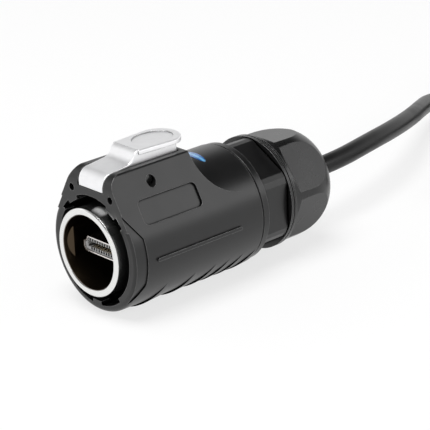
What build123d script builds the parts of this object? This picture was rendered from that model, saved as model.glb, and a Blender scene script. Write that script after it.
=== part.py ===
from build123d import *
import os
from math import atan2, cos, degrees, pi, radians, sin, sqrt, tan

# Circular latch-locking cable plug with a 19-contact audio-video insert and its lead.
# Millimetres. The origin is the centre of the metal sleeve's mouth. +Y runs along the
# axis towards the cable, +Z points to the latch, and +X is to the right from the front.
# Radii build up from the sleeve's bore by walls and steps, so a change moves all outside it.

# Fits
slip = 0.05                # radial clearance of a part that slides into its seat
pressed = 0.01             # radial clearance of a part that is pressed in
running = 0.05             # radial clearance of the latch on its pin
thread_fit = 0.08          # radial clearance of the gland nut on its thread
weld = 0.05                # overlap of two shapes of one piece
seat_gap = 0.1             # free gap beside a part that is only located
overcut = 1.0              # how far a cutting shape reaches past the surface that it cuts

# Metal sleeve
sleeve_bore_r = 10.24
sleeve_wall = 1.9
sleeve_root_step = 0.36    # thicker stretch that sits in the housing
sleeve_flange_step = 1.25
sleeve_flange_len = 2.5
sleeve_edge = 0.3
key_high = 0.99            # flat key inside the sleeve on the left
key_front = 1.3
key_rear_gap = 1.5         # from the key to the insert's carrier
key_lead = 1.6             # lead-in slope at the key's front

# Housing
nose_y = 2.2               # front face of the housing
nose_len = 1.4             # length over which the nose rounds up to the body
nose_round = 1.4           # the same, across the axis
tooth_gap = 2.1            # room between the sleeve and the keying teeth at the mouth
tooth_high = 1.06          # teeth stand in from the channel that takes the receptacle
tooth_len = 3.3
tooth_spans = [(-51.5, 37.6), (51.0, 66.0), (114.0, 129.0), (142.4, 231.5), (263.0, 276.0)]
mouth_wall = 1.85          # wall round the channel
shoulder_y = 20.0          # bottom of the channel
shoulder_len = 3.0
thread_step = 0.85         # from the sleeve's flange out to the rear bore
rear_bore_len = 19.8       # bore where the adapter screws in
rim_chamfer = 0.35

# Face seal at the bottom of the channel
seal_len = 1.6

# Latch hump on the housing
flank_tilt = 30.0          # each flank's outward direction above the horizontal
hump_rise = 4.85           # flat top beside the latch, above the round body
crown_front_r = 4.2        # round of the hump's front top corner
crown_end = 30.2           # rear end of the flat top
crown_edge_r = 0.7
scoop_r = 13.0             # hollow behind the hump
pinhole_drop = 5.97        # two blind holes in the front face, below the flat top
pinhole_x = 7.83
pinhole_r = 1.05
pinhole_depth = 4.0

# Side details of the housing
plate_front = 8.3          # bare recessed panel on each flank
plate_len = 20.1
plate_low = 0.5            # lower edge, measured up the flank
plate_wide = 6.9
plate_depth = 0.6
plate_corner_r = 1.5
rib_front = 9.3            # long rib on each side
rib_len = 30.0
rib_wide = 1.0
rib_high = 0.5
band_depth = 0.35          # shallow hollow on each side of the nose
band_len = 4.0
band_flat = 6.5            # half the straight rear edge of that hollow
band_slope_high = 6.2      # height of the slope beside that edge
ridge_drop = 0.8           # how far the belly ridges are centred below the axis
ridge_inset = 0.05         # front of a ridge below the round body's surface
ridge_slope = 0.07         # fall of a ridge's radius per millimetre
ridge_lean = 30.0          # lean of a ridge's front edge
ridge_longest = 12.0
ridge_top = 2.0            # upper end of the ridges, below the axis
ridge_fronts = [9.4, 19.6, 26.9, 31.9, 36.9, 41.9]
mark_y = 37.8              # oval index mark behind the hump
mark_half_x = 5.2
mark_half_y = 1.35
mark_depth = 0.35
mark_proud = 0.08

# Insert
plug_front = 4.3           # mouth of the inner plug
plug_out = 1.0             # how far the inner plug stands out behind its carrier
plug_high = 4.45
plug_wall = 0.33
plug_narrow_in = 1.75      # at each side, on top
plug_waist_in = 1.2        # at each side, where the sides turn up to the top
plug_waist_z = 1.15
plug_step_z = 0.55         # where the sides step in
plug_chamfer = 0.9
carrier_front = 15.8
carrier_flange_len = 2.5
slot_high = 1.6
slot_depth = 9.0
upper_count = 10
lower_count = 9
contact_pitch = 1.0
row_side = 2.45            # from the middle of a row's last contact to the shell's side
slot_side = 0.95           # and to the side of the slot for the mating tongue
contact_wide = 0.45
contact_thick = 0.25
contact_set = 0.3          # how far a contact starts behind the insulator's front
contact_rise_len = 1.3
contact_fall_len = 2.2
contact_nose = 0.45        # how far a contact dips into the slot
contact_tail = 1.5         # how far the contacts stand out behind the insulator
window_wide = 0.6
window_high = 0.5
window_depth = 2.0
board_side = 0.65          # the board is this much narrower than the shell at each side
board_len = 11.0
fan_side = 0.8             # and the row of wires this much narrower than the board
fan_r = 2.3                # the same wires where the jacket starts
fan_len = 3.9

# Latch, its pin and its spring
latch_half = 4.9
slot_side_gap = 0.25
latch_floor_gap = 0.2      # under the front arm
latch_lip_rise = 0.2       # lower edge of the latch on the front face, above the round body
latch_nose_r = 3.5         # round of the latch's front top corner
latch_arm_end = 11.2       # where the arm starts to rise to the pad
latch_arm_rise = 0.6       # gentle rise along the arm
latch_ramp = 60.0          # steepest part of the rise to the pad
latch_ramp_low_r = 2.6
latch_ramp_top_r = 2.2
latch_edge_r = 0.35
pivot_y = 15.2
pivot_rise = 1.1           # the pin's centre above the round body
pin_r = 1.2
pin_sink_r = 1.55          # visible hole in the flank
pin_sink_deep = 1.37       # the pin's end below the flank
lug_r = 1.8
lug_gap = 0.5
well_drop = 0.9            # floor of the deep part of the slot, below the round body's top
well_end = 29.0
tail_gap = 0.85            # room behind the latch, which swings back as it is pressed
tail_rise = 1.65           # underside of the latch's tail above the pin's centre
pad_rise = 3.75            # top of the thumb pad above the flat top of the hump
pad_thick = 1.2
pad_tip = 32.3
pad_half = 6.15
pad_front_half = 5.25
pad_front = 15.0
pad_shoulder_y = 26.15     # widest place, where the round tip starts
pad_edge_r = 0.4
pad_dish_y = 24.1
pad_dish_len = 6.3
pad_dish_wide = 4.6
pad_dish_depth = 0.3
claw_front = 5.0
claw_len = 2.6
claw_half = 3.4
claw_drop = 0.55           # tip of the claw below the channel's wall
claw_gap = 0.75
spring_y = 23.4
spring_r = 2.1
spring_wire_r = 0.3
spring_turns = 5
spring_pocket_gap = 0.9    # free gap round the spring in its pocket
spring_roof = 1.55         # thickness left above the pocket
spring_gap = 0.05          # free gap at each end of the spring

# Rear adapter
flange_step = 0.2          # adapter's flange below the housing's round body
flange_len = 2.6
adapter_bore_r = 9.2
neck_wall = 3.6            # outer thread for the gland nut, round the bore
neck_len = 10.0
hex_step = 1.8             # from the thread out to a flat
hex_corner_half = 5.7      # half the angle of each double corner face
hex_ridge_rise = 0.13      # ridge between the two faces of a corner
hex_len = 8.6
nose_wall = 1.25           # wall inside the sealing ring's groove
nose_bore_len = 12.0
adapter_edge = 0.4
ring_inset = 4.4           # groove of the sealing ring, from the housing's rear rim
ring_groove_len = 1.9
ring_groove_deep = 1.75
cage_seat_len = 8.0        # seat of the clamping cage, from the neck's end
cage_seat_step = 1.4       # widening of the bore for the cage

# Cable gland
nut_gap = 0.25
nut_wall = 3.02
nut_flange_step = 0.5
nut_flange_len = 1.9
nut_line_deep = 0.25       # fine groove round the nut's flange
nut_line_wide = 0.35
nut_straight = 8.25        # straight part before the dome
nut_dome = [(0.8, 6.5), (2.55, 9.9), (4.8, 11.9), (7.1, 12.9)]    # fall and run along it
nut_dome_len = 13.5
nut_rim_wide = 1.5
nut_exit_gap = 0.85        # round the cable
nut_thread_out = 1.6       # the nut's thread past the neck's end
facet_deep = 1.6           # of a wrench facet below the barrel
facet_start = 2.65         # from the nut's front
facet_runout = 1.7
facet_fall = 0.25          # fall of a facet towards the rear end
facet_turn = 36.0          # direction of the first facet
facets = 6
cage_wall = 1.5
cage_base_len = 4.5
cage_finger_len = 2.9      # tapered end of the fingers
cage_fingers = 8
cage_slit = 1.3
gland_seal_inset = 1.0     # from the cage's seat

# Cable
cable_r = 2.85
cable_exit_y = 80.5        # inside the nut's rear end
cable_points = [
    (0.0, 93.0, 0.0),
    (-3.9, 111.7, 0.0),
    (-9.7, 129.4, -1.5),
    (-17.6, 146.2, -3.8),
    (-26.9, 162.2, -6.5),
    (-34.4, 179.4, -10.8),
]
lay_points = [(-39.8, 195.4), (-43.3, 209.6)]

# Coil of the put-away length, and the tail to the far plug
coil_mean_r = 31.4
coil_full_turns = 3
coil_lead = 20.4           # straight stretch at each end of the coil
coil_out_angle = -1.0      # place on the coil where the tail leaves it
coil_round = 2.6
tail_runs = [9.0, 12.5, 9.0]
tie_angle = 95.0
tie_wide = 7.0
tie_thick = 0.8

# Far plug
grip_len = 26.0
grip_wide = 20.5
grip_high = 10.6
grip_corner = 2.2
grip_edge_r = 0.4
relief_len = 18.0
relief_r = 4.6
relief_tip_r = 3.7
relief_rings = 5
relief_cut_deep = 0.7
relief_cut_wide = 1.1
far_plug_out = 11.9        # length of metal shell in front of the grip
far_plug_in = 8.0

# Radii from the sleeve outwards
sleeve_r = sleeve_bore_r + sleeve_wall
sleeve_root_r = sleeve_r + sleeve_root_step
sleeve_flange_r = sleeve_root_r + sleeve_flange_step
tooth_r = sleeve_r + tooth_gap
channel_r = tooth_r + tooth_high
body_r = channel_r + mouth_wall
lip_r = body_r - nose_round
thread_r = sleeve_flange_r + thread_step
crown_z = body_r + hump_rise
ridge_r = body_r - ridge_inset

# Widths of the flat plug, from the row of contacts outwards
row_long = (upper_count - 1) * contact_pitch
slot_wide = row_long + 2 * slot_side
plug_wide = row_long + 2 * row_side
plug_waist = plug_wide - 2 * plug_waist_in
plug_narrow = plug_wide - 2 * plug_narrow_in
board_wide = plug_wide - 2 * board_side
fan_wide = board_wide - 2 * fan_side

# Lengths from the shoulder backwards
seal_front = shoulder_y - seal_len
shoulder_end = shoulder_y + shoulder_len
flange_end = shoulder_end + sleeve_flange_len
thread_y = flange_end + carrier_flange_len
body_end = thread_y + rear_bore_len
plug_rear = thread_y + plug_out

# The surface that the object lies on
floor_z = -(ridge_r + ridge_drop)
lay_z = floor_z + cable_r

out = "parts"
os.makedirs(out, exist_ok=True)


def section(y):
    """Cross-section plane square to the axis, seen from the front."""
    return Plane.XZ.offset(-y)


def save(part, name):
    part.label = name
    export_step(part, os.path.join(out, name + ".step"))


# Housing

scoop_y = crown_end + scoop_r

flank_up = Vector(-sin(radians(flank_tilt)), 0, cos(radians(flank_tilt)))
flank_out = Vector(cos(radians(flank_tilt)), 0, sin(radians(flank_tilt)))


def hump_outline(radius):
    """Corners of the hump whose flanks touch a circle of this radius."""
    foot = flank_out * radius
    top = (radius - crown_z * flank_out.Z) / flank_out.X
    return [(foot.X, foot.Z), (top, crown_z), (-top, crown_z), (-foot.X, foot.Z)]


# The hump: two flanks tangent to the round body, a flat top, and a hollow behind
with BuildPart() as hump:
    with BuildSketch(section(nose_y)):
        with BuildLine():
            Polyline(*hump_outline(body_r), close=True)
        make_face()
    extrude(amount=-(scoop_y - nose_y))
    fillet(hump.edges().filter_by(Axis.Y).group_by(Axis.Z)[-1], crown_edge_r)
    with BuildSketch(Plane.YZ):
        with BuildLine():
            rise = Line((nose_y, 0), (nose_y, crown_z - crown_front_r))
            corner = JernArc(rise @ 1, (0, 1), crown_front_r, -90)
            top = Line(corner @ 1, (crown_end, crown_z))
            hollow = JernArc(top @ 1, (0, -1), scoop_r, 90)
            drop = Line(hollow @ 1, (scoop_y, 0))
            Line(drop @ 1, rise @ 0)
        make_face()
    extrude(amount=body_r, both=True, mode=Mode.INTERSECT)

# Belly ridges: each is a slightly falling cone, centred low, with a leaning front edge
lean = tan(radians(ridge_lean))
ridge_low = floor_z - overcut
ridges = []
for front in ridge_fronts:
    ridge_len = min(ridge_longest, body_end - rim_chamfer - front)
    with BuildPart() as ridge:
        with BuildSketch(Plane.XY.offset(-ridge_drop)):
            with BuildLine():
                Polyline(
                    (0, front),
                    (ridge_r, front),
                    (ridge_r - ridge_slope * ridge_len, front + ridge_len),
                    (0, front + ridge_len),
                    close=True,
                )
            make_face()
        revolve(axis=Axis((0, 0, -ridge_drop), (0, 1, 0)))
        with BuildSketch(Plane.YZ):
            with BuildLine():
                Polyline(
                    (front + lean * (ridge_low - floor_z), ridge_low),
                    (front + body_end, ridge_low),
                    (front + body_end, -ridge_top),
                    (front - lean * (ridge_top + floor_z), -ridge_top),
                    close=True,
                )
            make_face()
        extrude(amount=body_r + overcut, both=True, mode=Mode.INTERSECT)
    ridges.append(ridge.part)

# Shallow hollow on each side of the nose: a shape seen from the side, to one depth
band_end_z = band_flat + band_slope_high
with BuildPart() as band:
    with BuildSketch(Plane.YZ):
        with BuildLine():
            Polyline(
                (nose_y - overcut, -band_end_z),
                (nose_y, -band_end_z),
                (nose_y + band_len, -band_flat),
                (nose_y + band_len, band_flat),
                (nose_y, band_end_z),
                (nose_y - overcut, band_end_z),
                close=True,
            )
        make_face()
    extrude(amount=body_r + overcut, both=True)
    with BuildSketch(section(nose_y - overcut)):
        Circle(body_r - band_depth)
        with BuildLine():
            Polyline(*hump_outline(body_r - band_depth), close=True)
        make_face()
    extrude(amount=-band_len - 2 * overcut, mode=Mode.SUBTRACT)

# Slot of the latch: shallow under the front arm, a deep well behind, a gap for the claw
latch_slot_half = latch_half + slot_side_gap
latch_lip_z = body_r + latch_lip_rise
slot_floor_z = latch_lip_z - latch_floor_gap
pivot_z = body_r + pivot_rise
well_floor_z = body_r - well_drop
well_front = pivot_y - lug_r - lug_gap
pin_half = (body_r - pivot_z * flank_out.Z) / flank_out.X - pin_sink_deep
pinhole_z = crown_z - pinhole_drop
mark_bed_z = sqrt((body_r - mark_depth) ** 2 - mark_half_x ** 2) - seat_gap
claw_slot_len = claw_len + 2 * claw_gap
plate_mid = (
    flank_out * body_r
    + flank_up * (plate_low + plate_wide / 2)
    + Vector(0, plate_front + plate_len / 2, 0)
)
rib_mid_y = rib_front + rib_len / 2

with BuildPart() as housing:
    # Round body with a rounded nose and a flat lip
    with BuildSketch(Plane.XY):
        with BuildLine():
            lip = Line((0, nose_y), (lip_r, nose_y))
            nose = EllipticalCenterArc(
                (lip_r, nose_y + nose_len), body_r - lip_r, nose_len, start_angle=270, arc_size=90
            )
            side = Line(nose @ 1, (body_r, body_end - rim_chamfer))
            rim = Line(side @ 1, (body_r - rim_chamfer, body_end))
            back = Line(rim @ 1, (0, body_end))
            Line(back @ 1, lip @ 0)
        make_face()
    revolve(axis=Axis.Y)
    add(hump.part)
    add(ridges)

    # Long rib on each side
    for side in (1, -1):
        with BuildSketch(Plane.YZ.offset(side * (body_r - overcut))):
            with Locations((rib_mid_y, 0)):
                SlotOverall(rib_len, rib_wide)
        extrude(amount=side * (overcut + rib_high))
    add(band.part, mode=Mode.SUBTRACT)

    # Mouth with its keying teeth, then the channel behind them
    with BuildSketch(section(nose_y)):
        Circle(channel_r)
        for start, end in tooth_spans:
            with BuildLine():
                inner = CenterArc((0, 0), tooth_r, start, end - start)
                outer = CenterArc((0, 0), channel_r + weld, start, end - start)
                Line(inner @ 0, outer @ 0)
                Line(inner @ 1, outer @ 1)
            make_face(mode=Mode.SUBTRACT)
    extrude(amount=-tooth_len, mode=Mode.SUBTRACT)
    with BuildSketch(section(nose_y + tooth_len)):
        Circle(channel_r)
    extrude(amount=-(shoulder_y - nose_y - tooth_len), mode=Mode.SUBTRACT)

    # Bore through the shoulder, seat of the sleeve's flange, and the threaded rear bore
    with BuildSketch(section(shoulder_y)):
        Circle(sleeve_root_r + slip)
    extrude(amount=-shoulder_len, mode=Mode.SUBTRACT)
    with BuildSketch(section(shoulder_end)):
        Circle(sleeve_flange_r + slip)
    extrude(amount=-(thread_y - shoulder_end), mode=Mode.SUBTRACT)
    with BuildSketch(section(thread_y)):
        Circle(thread_r)
    extrude(amount=-(body_end - thread_y), mode=Mode.SUBTRACT)

    # Latch slot
    with BuildSketch(Plane.XY.offset(slot_floor_z)):
        with Locations((0, (nose_y - overcut + well_end) / 2)):
            Rectangle(2 * latch_slot_half, well_end - nose_y + overcut)
    extrude(amount=crown_z, mode=Mode.SUBTRACT)
    with BuildSketch(Plane.XY.offset(well_floor_z)):
        with Locations((0, (well_front + well_end) / 2)):
            Rectangle(2 * latch_slot_half, well_end - well_front)
    extrude(amount=crown_z, mode=Mode.SUBTRACT)
    with BuildSketch(Plane.XY.offset(sleeve_r)):
        with Locations((0, claw_front + claw_len / 2)):
            Rectangle(2 * (claw_half + seat_gap), claw_slot_len)
    extrude(amount=slot_floor_z, mode=Mode.SUBTRACT)

    # Pin holes: a close bore across the slot and a wider sink from each flank
    with BuildSketch(Plane.YZ):
        with Locations((pivot_y, pivot_z)):
            Circle(pin_r + pressed)
    extrude(amount=body_r, both=True, mode=Mode.SUBTRACT)
    for side in (1, -1):
        with BuildSketch(Plane.YZ.offset(side * pin_half)):
            with Locations((pivot_y, pivot_z)):
                Circle(pin_sink_r)
        extrude(amount=side * body_r, mode=Mode.SUBTRACT)

    # Blind holes in the front face, and the bare panel on each flank
    with BuildSketch(section(nose_y)):
        with Locations((pinhole_x, pinhole_z), (-pinhole_x, pinhole_z)):
            Circle(pinhole_r)
    extrude(amount=-pinhole_depth, mode=Mode.SUBTRACT)
    for side in (1, -1):
        middle = Vector(side * plate_mid.X, plate_mid.Y, plate_mid.Z)
        outward = Vector(side * flank_out.X, 0, flank_out.Z)
        with BuildSketch(Plane(origin=middle, x_dir=(0, 1, 0), z_dir=outward)):
            RectangleRounded(plate_len, plate_wide, plate_corner_r)
        extrude(amount=-plate_depth, mode=Mode.SUBTRACT)

    # Recess of the index mark behind the hump
    with BuildSketch(Plane.XY.offset(mark_bed_z)):
        with Locations((0, mark_y)):
            Ellipse(mark_half_x, mark_half_y)
    extrude(amount=body_r, mode=Mode.SUBTRACT)
save(housing.part, "housing")

# Index mark: an oval inlay that follows the round neck
with BuildPart() as index_mark:
    with BuildSketch(Plane.XY.offset(mark_bed_z)):
        with Locations((0, mark_y)):
            Ellipse(mark_half_x - slip, mark_half_y - slip)
    extrude(amount=body_r)
    with BuildSketch(section(mark_y - 2 * mark_half_y)):
        Circle(body_r + mark_proud)
        Circle(body_r - mark_depth, mode=Mode.SUBTRACT)
    extrude(amount=-4 * mark_half_y, mode=Mode.INTERSECT)
save(index_mark.part, "index_mark")

# Flat key on the left inside the metal sleeve, with a slope at its front
key_chord_x = sleeve_bore_r - key_high
with BuildPart() as key:
    with BuildSketch(section(key_front)):
        Circle(sleeve_bore_r + weld)
        with Locations((key_high, 0)):
            Rectangle(2 * sleeve_bore_r, 2 * sleeve_r, mode=Mode.SUBTRACT)
    extrude(amount=key_front - carrier_front + key_rear_gap)
    with BuildSketch(Plane.XY):
        with BuildLine():
            Polyline(
                (-sleeve_bore_r - weld, key_front),
                (-key_chord_x, key_front),
                (-key_chord_x, key_front + key_lead),
                close=True,
            )
        make_face()
    extrude(amount=sleeve_r, both=True, mode=Mode.SUBTRACT)

# Metal sleeve: a turned tube with a thicker root and a flange behind
with BuildPart() as sleeve:
    with BuildSketch(Plane.XY):
        with BuildLine():
            Polyline(
                (sleeve_bore_r, sleeve_edge),
                (sleeve_bore_r + sleeve_edge, 0),
                (sleeve_r - sleeve_edge, 0),
                (sleeve_r, sleeve_edge),
                (sleeve_r, seal_front),
                (sleeve_root_r, seal_front),
                (sleeve_root_r, shoulder_end),
                (sleeve_flange_r, shoulder_end),
                (sleeve_flange_r, flange_end),
                (sleeve_bore_r, flange_end),
                close=True,
            )
        make_face()
    revolve(axis=Axis.Y)
    add(key.part)
save(sleeve.part, "mating_sleeve")

# Flat rubber ring at the bottom of the channel
with BuildPart() as face_seal:
    with BuildSketch(section(seal_front)):
        Circle(channel_r - slip)
        Circle(sleeve_root_r + slip, mode=Mode.SUBTRACT)
    extrude(amount=-seal_len)
save(face_seal.part, "face_seal")


def plug_section(inset):
    """Section of the inner plug, drawn in by a wall; narrow side up."""
    half = plug_wide / 2
    high = plug_high / 2
    right = [
        (half - plug_chamfer, -high),
        (half, -high + plug_chamfer),
        (half, plug_step_z),
        (plug_waist / 2, plug_waist_z),
        (plug_narrow / 2, high),
    ]
    left = [(-across, up) for across, up in reversed(right)]
    with BuildSketch() as outline:
        with BuildLine():
            Polyline(*right, *left, close=True)
        make_face()
        if inset:
            offset(amount=-inset, kind=Kind.INTERSECTION)
    return outline.sketch


def plug_shell(front, rear):
    """Folded metal shell of the flat plug, open at both ends."""
    with BuildPart() as shell:
        with BuildSketch(section(front)):
            add(plug_section(0))
            add(plug_section(plug_wall), mode=Mode.SUBTRACT)
        extrude(amount=front - rear)
    return shell.part


def plug_insulator(front, rear):
    """Plastic core with the slot for the tongue and a window over each contact."""
    core_front = front + plug_wall
    with BuildPart() as core:
        with BuildSketch(section(core_front)):
            add(plug_section(plug_wall + pressed))
        extrude(amount=core_front - rear)
        with BuildSketch(section(core_front)):
            Rectangle(slot_wide, slot_high)
        extrude(amount=-slot_depth, mode=Mode.SUBTRACT)
        for row, count in ((1, upper_count), (-1, lower_count)):
            groove_z = row * (slot_high + contact_thick) / 2
            window_z = row * (slot_high / 2 + contact_thick + window_high / 2)
            with BuildSketch(section(core_front)):
                with Locations((0, groove_z)):
                    with GridLocations(contact_pitch, 1, count, 1):
                        Rectangle(contact_wide + 2 * pressed, contact_thick)
            extrude(amount=core_front - rear, mode=Mode.SUBTRACT)
            with BuildSketch(section(core_front)):
                with Locations((0, window_z)):
                    with GridLocations(contact_pitch, 1, count, 1):
                        Rectangle(window_wide, window_high)
            extrude(amount=-window_depth, mode=Mode.SUBTRACT)
    return core.part


def spring_contact(front, rear, row):
    """Flat contact with a nose that dips into the slot from above or from below."""
    inner = row * slot_high / 2
    outer = row * (slot_high / 2 + contact_thick)
    dip = row * (slot_high / 2 - contact_nose)
    start = front + plug_wall + contact_set
    nose = start + contact_rise_len
    with BuildPart() as contact:
        with BuildSketch(Plane.YZ):
            with BuildLine():
                Polyline(
                    (start, outer),
                    (start, inner),
                    (nose, dip),
                    (nose + contact_fall_len, inner),
                    (rear + contact_tail, inner),
                    (rear + contact_tail, outer),
                    close=True,
                )
            make_face()
        extrude(amount=contact_wide / 2, both=True)
    return contact.part


def row_places(count):
    """Middle of each contact in a row of this many."""
    return [((number - (count - 1) / 2) * contact_pitch, 0, 0) for number in range(count)]


def contact_row(front, rear, row, count):
    """All contacts of one row as a group of separate solids."""
    single = spring_contact(front, rear, row)
    with BuildPart() as contacts:
        with Locations(*row_places(count)):
            add(single)
    return contacts.part


# Inner plug
save(plug_shell(plug_front, plug_rear), "av_plug_shell")
save(plug_insulator(plug_front, plug_rear), "av_plug_insulator")
for row, count, row_name in ((1, upper_count, "upper"), (-1, lower_count, "lower")):
    single = spring_contact(plug_front, plug_rear, row)
    for number, place in enumerate(row_places(count), start=1):
        save(Location(place) * single, f"{row_name}_contact_{number:02d}")

# Carrier that holds the inner plug in the sleeve; its flange sits behind the sleeve's
with BuildPart() as carrier:
    with BuildSketch(section(carrier_front)):
        Circle(sleeve_bore_r - slip)
    extrude(amount=carrier_front - flange_end)
    with BuildSketch(section(flange_end)):
        Circle(sleeve_flange_r)
    extrude(amount=flange_end - thread_y)
    with BuildSketch(section(carrier_front)):
        add(plug_section(-pressed))
    extrude(amount=carrier_front - thread_y, mode=Mode.SUBTRACT)
save(carrier.part, "insert_carrier")

# Solder board between the two rows of contact tails
board_front = plug_rear + seat_gap
board_end = board_front + board_len
jacket_start = board_end + fan_len
with BuildPart() as board:
    with BuildSketch(section(board_front)):
        Rectangle(board_wide, slot_high)
    extrude(amount=-board_len)
save(board.part, "solder_board")

# Wires from the board, gathered into the cable's jacket
with BuildPart() as fan:
    with BuildSketch(section(board_end)):
        Rectangle(fan_wide, slot_high)
    with BuildSketch(section(jacket_start)):
        Circle(fan_r)
    loft()
save(fan.part, "conductor_fan")

# Latch: a rocking lever with a front arm, a claw, a lug round the pin and a thumb pad
latch_front_y = nose_y + seat_gap
tail_y = well_end - tail_gap
tail_z = pivot_z + tail_rise
pad_top = crown_z + pad_rise
claw_low = channel_r - claw_drop
spring_top = pad_top - spring_roof
arm_tilt = degrees(atan2(latch_arm_rise, latch_arm_end - latch_front_y - latch_nose_r))
arm_end_z = crown_z + latch_arm_rise
low_rise = latch_ramp_low_r * (cos(radians(arm_tilt)) - cos(radians(latch_ramp)))
top_rise = latch_ramp_top_r * (1 - cos(radians(latch_ramp)))
ramp_len = (pad_top - arm_end_z - low_rise - top_rise) / sin(radians(latch_ramp))
pad_low = pad_top - pad_thick

with BuildPart() as pad:
    with BuildSketch(Plane.XY.offset(pad_low)):
        with BuildLine():
            flare = Line((pad_front_half, pad_front), (pad_half, pad_shoulder_y))
            tip = ThreePointArc(flare @ 1, (0, pad_tip), (-pad_half, pad_shoulder_y))
            back_flare = Line(tip @ 1, (-pad_front_half, pad_front))
            Line(back_flare @ 1, flare @ 0)
        make_face()
    extrude(amount=pad_thick)
    pad_rim = pad.faces().sort_by(Axis.Z)[-1].edges().sort_by(Axis.Y)[1:]
    fillet(pad_rim, pad_edge_r)

with BuildPart() as latch:
    with BuildSketch(Plane.YZ):
        with BuildLine():
            rise = Line((latch_front_y, latch_lip_z), (latch_front_y, crown_z - latch_nose_r))
            corner = JernArc(rise @ 1, (0, 1), latch_nose_r, -90)
            arm = Line(corner @ 1, (latch_arm_end, arm_end_z))
            low = JernArc(
                arm @ 1,
                (cos(radians(arm_tilt)), sin(radians(arm_tilt))),
                latch_ramp_low_r,
                latch_ramp - arm_tilt,
            )
            ramp = PolarLine(low @ 1, ramp_len, latch_ramp)
            high = JernArc(ramp @ 1, ramp % 1, latch_ramp_top_r, -latch_ramp)
            Polyline(
                high @ 1,
                (tail_y, pad_top - pad_thick / 2),
                (tail_y, tail_z),
                (pivot_y, tail_z),
                (pivot_y, latch_lip_z),
                rise @ 0,
            )
        make_face()
        with Locations((pivot_y, pivot_z)):
            Circle(lug_r)
    extrude(amount=latch_half, both=True)
    outside = latch.faces().filter_by(lambda face: face.normal_at().Z - face.normal_at().Y > weld)
    outer_edges = outside.edges().filter_by(lambda edge: abs(edge.center().X) > latch_half - weld)
    fillet(outer_edges, latch_edge_r)
    add(pad.part)
    with BuildSketch(Plane.YZ):
        with BuildLine():
            Polyline(
                (claw_front, latch_lip_z + weld),
                (claw_front, claw_low + claw_len / 2),
                (claw_front + claw_len / 2, claw_low),
                (claw_front + claw_len, claw_low),
                (claw_front + claw_len, latch_lip_z + weld),
                close=True,
            )
        make_face()
    extrude(amount=claw_half, both=True)
    with BuildSketch(Plane.YZ):
        with Locations((pivot_y, pivot_z)):
            Circle(pin_r + running)
    extrude(amount=latch_half, both=True, mode=Mode.SUBTRACT)
    with BuildSketch(Plane.XY.offset(tail_z)):
        with Locations((0, spring_y)):
            Circle(spring_r + spring_wire_r + spring_pocket_gap)
    extrude(amount=spring_top - tail_z, mode=Mode.SUBTRACT)
    with BuildSketch(Plane.XY.offset(pad_top - pad_dish_depth)):
        with Locations((0, pad_dish_y)):
            Ellipse(pad_dish_wide, pad_dish_len)
    extrude(amount=pad_dish_depth, mode=Mode.SUBTRACT)
save(latch.part, "latch")

# Hinge pin across the slot
with BuildPart() as latch_pin:
    with BuildSketch(Plane.YZ):
        with Locations((pivot_y, pivot_z)):
            Circle(pin_r)
    extrude(amount=pin_half, both=True)
save(latch_pin.part, "latch_pin")

# Coil spring under the pad
spring_low = well_floor_z + spring_gap + spring_wire_r
spring_high = spring_top - spring_gap - spring_wire_r
with BuildPart() as spring:
    with BuildLine():
        turns = Helix(
            (spring_high - spring_low) / spring_turns,
            spring_high - spring_low,
            spring_r,
            center=(0, spring_y, spring_low),
        )
    with BuildSketch(Plane(origin=turns @ 0, z_dir=turns % 0)):
        Circle(spring_wire_r)
    sweep(path=turns, is_frenet=True)
save(spring.part, "latch_spring")

# Rear adapter: a threaded nose, a flange, a hexagon with double corners and a neck
flange_r = body_r - flange_step
flange_rear = body_end + flange_len
neck_r = adapter_bore_r + neck_wall
hex_end = flange_rear + hex_len
neck_end = hex_end + neck_len
corner_r = (neck_r + hex_step) / cos(radians(30 - hex_corner_half))
ridge_corner_r = corner_r + hex_ridge_rise
ring_groove_r = thread_r - ring_groove_deep
ring_groove_y = body_end - ring_inset
cage_seat_y = neck_end - cage_seat_len
cage_bore_r = adapter_bore_r + cage_seat_step
hex_corners = []
for corner_number in range(6):
    middle_angle = 30 + 60 * corner_number
    for turn, radius in ((-hex_corner_half, corner_r), (0, ridge_corner_r), (hex_corner_half, corner_r)):
        direction = radians(middle_angle + turn)
        hex_corners.append((radius * cos(direction), radius * sin(direction)))

with BuildPart() as adapter:
    with BuildSketch(Plane.XY):
        with BuildLine():
            Polyline(
                (0, thread_y),
                (thread_r - slip - adapter_edge, thread_y),
                (thread_r - slip, thread_y + adapter_edge),
                (thread_r - slip, body_end),
                (flange_r - adapter_edge, body_end),
                (flange_r, body_end + adapter_edge),
                (flange_r, flange_rear - adapter_edge),
                (flange_r - adapter_edge, flange_rear),
                (neck_r, flange_rear),
                (neck_r, neck_end - adapter_edge),
                (neck_r - adapter_edge, neck_end),
                (0, neck_end),
                close=True,
            )
        make_face()
    revolve(axis=Axis.Y)
    with BuildSketch(section(flange_rear)):
        with BuildLine():
            Polyline(*hex_corners, close=True)
        make_face()
    extrude(amount=flange_rear - hex_end)
    with BuildSketch(section(thread_y)):
        Circle(ring_groove_r - nose_wall)
    extrude(amount=-nose_bore_len, mode=Mode.SUBTRACT)
    with BuildSketch(section(thread_y)):
        Circle(adapter_bore_r)
    extrude(amount=thread_y - neck_end, mode=Mode.SUBTRACT)
    with BuildSketch(section(cage_seat_y)):
        Circle(cage_bore_r)
    extrude(amount=cage_seat_y - neck_end, mode=Mode.SUBTRACT)
    with BuildSketch(section(ring_groove_y)):
        Circle(thread_r)
        Circle(ring_groove_r, mode=Mode.SUBTRACT)
    extrude(amount=-ring_groove_len, mode=Mode.SUBTRACT)
save(adapter.part, "rear_adapter")

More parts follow.
